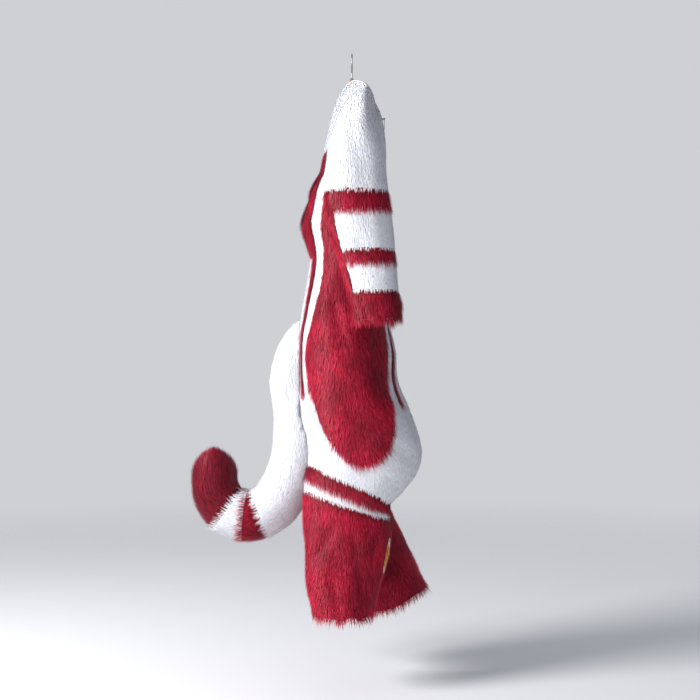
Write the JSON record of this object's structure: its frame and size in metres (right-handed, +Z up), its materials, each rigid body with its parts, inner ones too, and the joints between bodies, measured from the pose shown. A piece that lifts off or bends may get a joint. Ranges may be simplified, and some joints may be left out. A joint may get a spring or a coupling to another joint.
{
  "type": "fursuit body on a hanger",
  "caption": "Full-body costume suit of white and red long-pile fake fur with a stuffed tail, open at neck, cuffs and hems, hanging on a wooden hanger with a wire hook.",
  "frame": {"origin": "inside top of the hanger's hook, where a rail would carry it", "axes": "+Z up along the hanging suit, -Y towards the wearer's front, -X towards the wearer's right"},
  "size_m": [0.644, 0.6472, 1.547],
  "materials": {
    "white_fur": "short smooth pile",
    "red_fur": "long soft pile",
    "yellow_fur": "short pile",
    "zip_tape": "woven tape with coil teeth",
    "zip_metal": "polished",
    "hanger_wood": "satin",
    "hook_wire": "bright wire"
  },
  "bodies": {
    "suit": {"front_R": "white_fur", "front_L": "white_fur", "back_R": "white_fur", "back_L": "white_fur", "sleeve_cap_R": "white_fur", "sleeve_cap_L": "white_fur", "sleeve_middle_R": "white_fur", "sleeve_middle_L": "white_fur", "forearm_R": "white_fur", "forearm_L": "white_fur", "knee_ring_R": "white_fur", "knee_ring_L": "white_fur", "side_panel_R": "red_fur", "side_panel_L": "red_fur", "front_stripe_R": "red_fur", "front_stripe_L": "red_fur", "back_stripe_R": "red_fur", "back_stripe_L": "red_fur", "under_sleeve_R": "red_fur", "under_sleeve_L": "red_fur", "sleeve_band_upper_R": "red_fur", "sleeve_band_upper_L": "red_fur", "sleeve_band_lower_R": "red_fur", "sleeve_band_lower_L": "red_fur", "cuff_R": "red_fur", "cuff_L": "red_fur", "knee_band_R": "red_fur", "knee_band_L": "red_fur", "lower_leg_R": "red_fur", "lower_leg_L": "red_fur", "shin_patch_R": "yellow_fur", "shin_patch_L": "yellow_fur", "back_shoulder": "white_fur", "back_yoke": "red_fur", "tail_base": "white_fur", "tail_ring_red": "red_fur", "tail_ring_white": "white_fur", "tail_tip": "red_fur", "zip_chain": "zip_tape", "zip_slider": "zip_metal", "hanger_wood": "hanger_wood", "hanger_hook": "hook_wire"},
    "zip_pull": {"zip_pull": "zip_metal"}
  },
  "joints": [
    {"name": "pull_swing", "type": "hinge", "parent": "suit", "child": "zip_pull", "pos_m": [0, -0.08717, -0.17248], "axis": [-1, 0, 0], "range_deg": [0, 150]}
  ]
}
